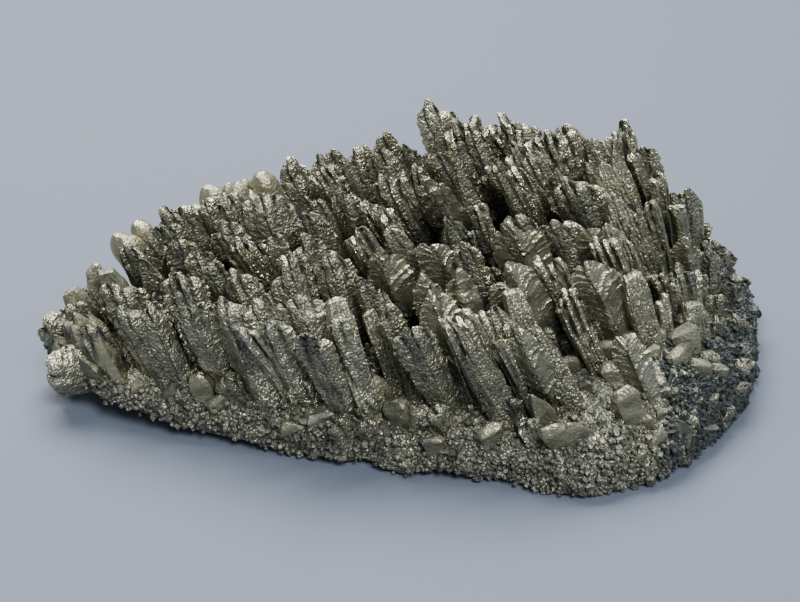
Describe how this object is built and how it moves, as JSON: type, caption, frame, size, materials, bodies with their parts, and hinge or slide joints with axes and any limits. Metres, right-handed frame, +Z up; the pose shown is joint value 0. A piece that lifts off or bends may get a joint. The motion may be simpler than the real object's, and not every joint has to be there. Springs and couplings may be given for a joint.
{
  "type": "metallic crystal cluster",
  "caption": "cabinet specimen of leaning bladed and fern-like metal crystals grown together on a granular crust, tapering to one end and flat underneath",
  "frame": {"origin": "under the middle of the specimen's box, on the surface that it rests on", "axes": "+X from the narrow end to the broad end, +Y from the low front row of crystals to the high crest, +Z up"},
  "size_m": [0.1588, 0.089, 0.0471],
  "materials": {
    "crystalline_metal": "as-grown silvery grey metal with an olive cast, bright on crystal faces and dull in the granular crust"
  },
  "bodies": {
    "root": {"crystal_cluster": "crystalline_metal"}
  },
  "joints": []
}
